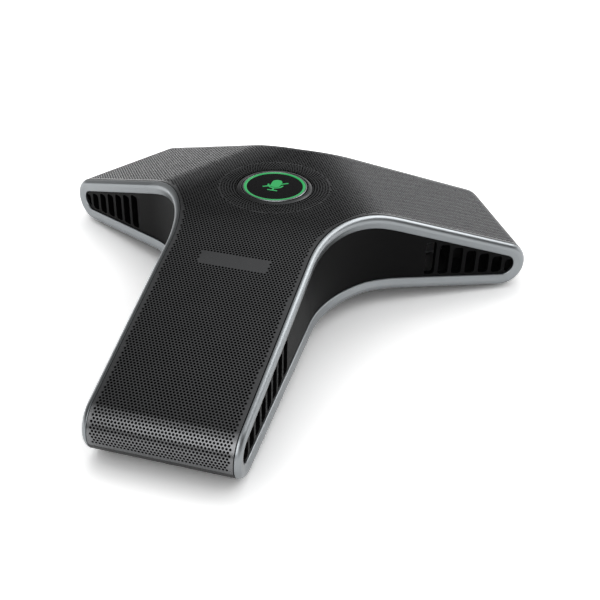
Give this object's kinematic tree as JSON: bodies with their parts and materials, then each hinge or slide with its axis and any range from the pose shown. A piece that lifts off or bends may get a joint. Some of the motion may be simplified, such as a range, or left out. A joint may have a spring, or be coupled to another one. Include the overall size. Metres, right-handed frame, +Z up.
{
  "type": "conference microphone pod",
  "caption": "Three-armed table-top conference microphone pod with a perforated metal top, silver side rims, slotted side panels and a lit mute key on the hub.",
  "frame": {"origin": "middle of the footprint, on the table under the feet", "axes": "+Z up, the front arm points along -Y, +X to the right seen from the front"},
  "size_m": [0.251, 0.245, 0.0539],
  "materials": {
    "grille_metal": "satin dark grey perforated sheet",
    "rim_metal": "satin",
    "black_plastic": "fine matt",
    "key_black": "gloss",
    "key_green": "lit translucent",
    "board": "solder mask",
    "rubber": "matt",
    "steel": "plain",
    "pale_plastic": "plain",
    "grey_plastic": "plain"
  },
  "bodies": {
    "housing": {"base_cover": "black_plastic", "top_cover": "black_plastic", "grille": "grille_metal", "rim_right": "rim_metal", "rim_left": "rim_metal", "rim_rear": "rim_metal", "panel_right": "black_plastic", "panel_left": "black_plastic", "panel_rear": "black_plastic", "key_collar": "grille_metal", "tact_switch": "grey_plastic", "key_board": "board", "key_lamps": "pale_plastic", "key_board_screws": "steel", "main_board": "board", "shield_can": "steel", "lead_sockets": "pale_plastic", "board_screws": "steel", "network_jack": "steel", "mic_boot_front": "rubber", "mic_boot_right": "rubber", "mic_boot_left": "rubber", "mic_capsule_front": "steel", "mic_capsule_right": "steel", "mic_capsule_left": "steel", "mic_lead_front": "grey_plastic", "mic_lead_right": "grey_plastic", "mic_lead_left": "grey_plastic", "key_lead": "grey_plastic", "foot_front": "rubber", "foot_right": "rubber", "foot_left": "rubber", "base_screws": "steel"},
    "mute_key": {"key_cap": "key_black", "key_light_ring": "key_green", "key_symbol": "key_green", "key_carrier": "black_plastic", "switch_plunger": "grey_plastic"}
  },
  "joints": [
    {"name": "mute_key_press", "type": "slide", "parent": "housing", "child": "mute_key", "axis": [0, 0, -1], "range_m": [0, 0.0005], "stiffness_N_per_m": 2000, "springref_m": -0.0004}
  ]
}
